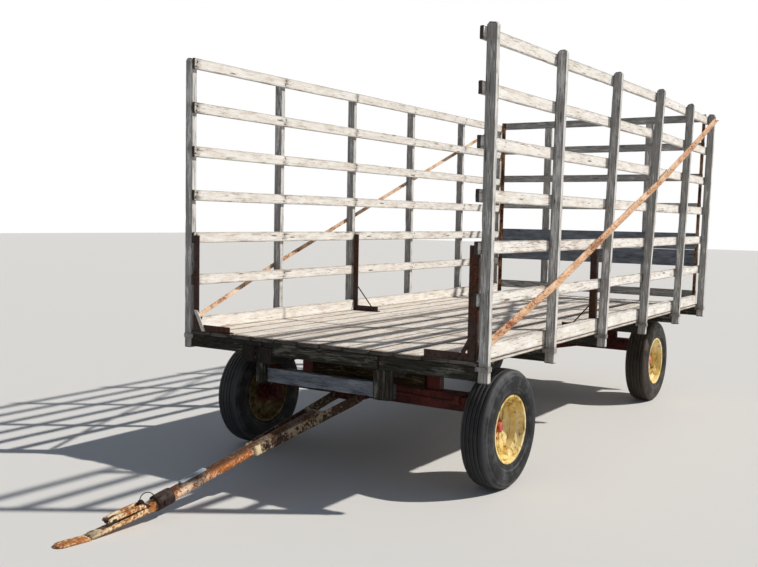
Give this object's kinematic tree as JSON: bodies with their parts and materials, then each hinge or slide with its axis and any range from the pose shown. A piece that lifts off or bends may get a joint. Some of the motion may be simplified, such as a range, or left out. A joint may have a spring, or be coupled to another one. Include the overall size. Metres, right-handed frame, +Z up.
{
  "type": "hay wagon",
  "caption": "Four wheel hay wagon: plank bed, slatted side and tail racks, steered front wheels and a hinged tongue resting on the ground.",
  "frame": {"origin": "on the ground, at the middle of the wagon's whole length and width, tongue included", "axes": "+X forward towards the tongue, +Y to the wagon's left, +Z up"},
  "size_m": [6.7524, 2.5028, 2.809],
  "materials": {
    "white_wood": "weathered white paint on sawn boards",
    "deck_wood": "sun bleached bare planks",
    "grey_wood": "weathered grey brown timber",
    "gear_paint": "faded red paint over steel",
    "rusted_steel": "rusted steel with worn pale paint",
    "rim_paint": "faded cream yellow paint with rust runs",
    "hub_paint": "faded red paint",
    "tyre": "dull greyed rubber"
  },
  "bodies": {
    "root": {"bolster_stakes": "gear_paint", "cross_joists": "grey_wood", "deck_planks": "deck_wood", "front_axle": "gear_paint", "front_bolster": "grey_wood", "front_header": "grey_wood", "hanger_board": "white_wood", "hanger_posts": "grey_wood", "left_posts": "white_wood", "left_slats": "white_wood", "long_sills": "grey_wood", "post_straps": "rusted_steel", "reach_hounds": "gear_paint", "reach_pole": "rusted_steel", "rear_axle": "gear_paint", "rear_bolster": "grey_wood", "right_posts": "white_wood", "right_slats": "white_wood", "side_braces": "rusted_steel", "side_curbs": "white_wood", "stake_brackets": "rusted_steel", "tail_panel": "white_wood", "tail_posts": "white_wood", "tail_sill_board": "white_wood", "tail_slats": "white_wood", "tail_uprights": "rusted_steel"},
    "front_left_wheel": {"front_left_hub": "hub_paint", "front_left_rim": "rim_paint", "front_left_tyre": "tyre"},
    "front_right_wheel": {"front_right_hub": "hub_paint", "front_right_rim": "rim_paint", "front_right_tyre": "tyre"},
    "tongue": {"hitch_clevis": "rusted_steel", "tongue_collar": "rusted_steel", "tongue_members": "rusted_steel", "tongue_pole": "rusted_steel"},
    "left_knuckle": {"left_knuckle": "gear_paint"},
    "left_tie_rod": {"left_tie_rod": "rusted_steel"},
    "rear_left_wheel": {"rear_left_hub": "hub_paint", "rear_left_rim": "rim_paint", "rear_left_tyre": "tyre"},
    "rear_right_wheel": {"rear_right_hub": "hub_paint", "rear_right_rim": "rim_paint", "rear_right_tyre": "tyre"},
    "right_knuckle": {"right_knuckle": "gear_paint"},
    "right_tie_rod": {"right_tie_rod": "rusted_steel"},
    "steering_head": {"steering_head": "gear_paint"}
  },
  "joints": [
    {"name": "steering", "type": "hinge", "parent": "root", "child": "steering_head", "pos_m": [1.15082, -0.02714, 0.473], "axis": [0, 0, 1], "range_deg": [-31, 49]},
    {"name": "tongue_lift", "type": "hinge", "parent": "steering_head", "child": "tongue", "pos_m": [1.26934, -0.04591, 0.499], "axis": [-0.1564, -0.9877, 0], "range_deg": [-8, 18]},
    {"name": "left_knuckle_turn", "type": "hinge", "parent": "root", "child": "left_knuckle", "pos_m": [1.02482, 0.78486, 0.473], "axis": [0, 0, 1], "range_deg": [-15.5, 24.5]},
    {"name": "left_tie_rod_pivot", "type": "hinge", "parent": "steering_head", "child": "left_tie_rod", "pos_m": [1.25947, -0.04435, 0.579], "axis": [0, 0, 1], "range_deg": [-49, 31]},
    {"name": "right_knuckle_turn", "type": "hinge", "parent": "root", "child": "right_knuckle", "pos_m": [1.02482, -0.83914, 0.473], "axis": [0, 0, 1], "range_deg": [-15.5, 24.5]},
    {"name": "right_tie_rod_pivot", "type": "hinge", "parent": "steering_head", "child": "right_tie_rod", "pos_m": [1.25947, -0.04435, 0.555], "axis": [0, 0, 1], "range_deg": [-49, 31]},
    {"name": "front_left_wheel_spin", "type": "hinge", "parent": "left_knuckle", "child": "front_left_wheel", "pos_m": [1.02902, 0.96981, 0.382], "axis": [0.0227, 0.9997, 0], "continuous": true},
    {"name": "front_right_wheel_spin", "type": "hinge", "parent": "right_knuckle", "child": "front_right_wheel", "pos_m": [1.02062, -1.02409, 0.382], "axis": [0.0227, 0.9997, 0], "continuous": true},
    {"name": "rear_left_wheel_spin", "type": "hinge", "parent": "root", "child": "rear_left_wheel", "pos_m": [-2.50918, 0.84586, 0.382], "axis": [0, 1, 0], "continuous": true},
    {"name": "rear_right_wheel_spin", "type": "hinge", "parent": "root", "child": "rear_right_wheel", "pos_m": [-2.50918, -0.90014, 0.382], "axis": [0, 1, 0], "continuous": true}
  ],
  "couplings": [
    {"joint": "left_knuckle_turn", "follows": "steering", "ratio": 0.5},
    {"joint": "left_tie_rod_pivot", "follows": "steering", "ratio": -1},
    {"joint": "right_knuckle_turn", "follows": "steering", "ratio": 0.5},
    {"joint": "right_tie_rod_pivot", "follows": "steering", "ratio": -1}
  ]
}
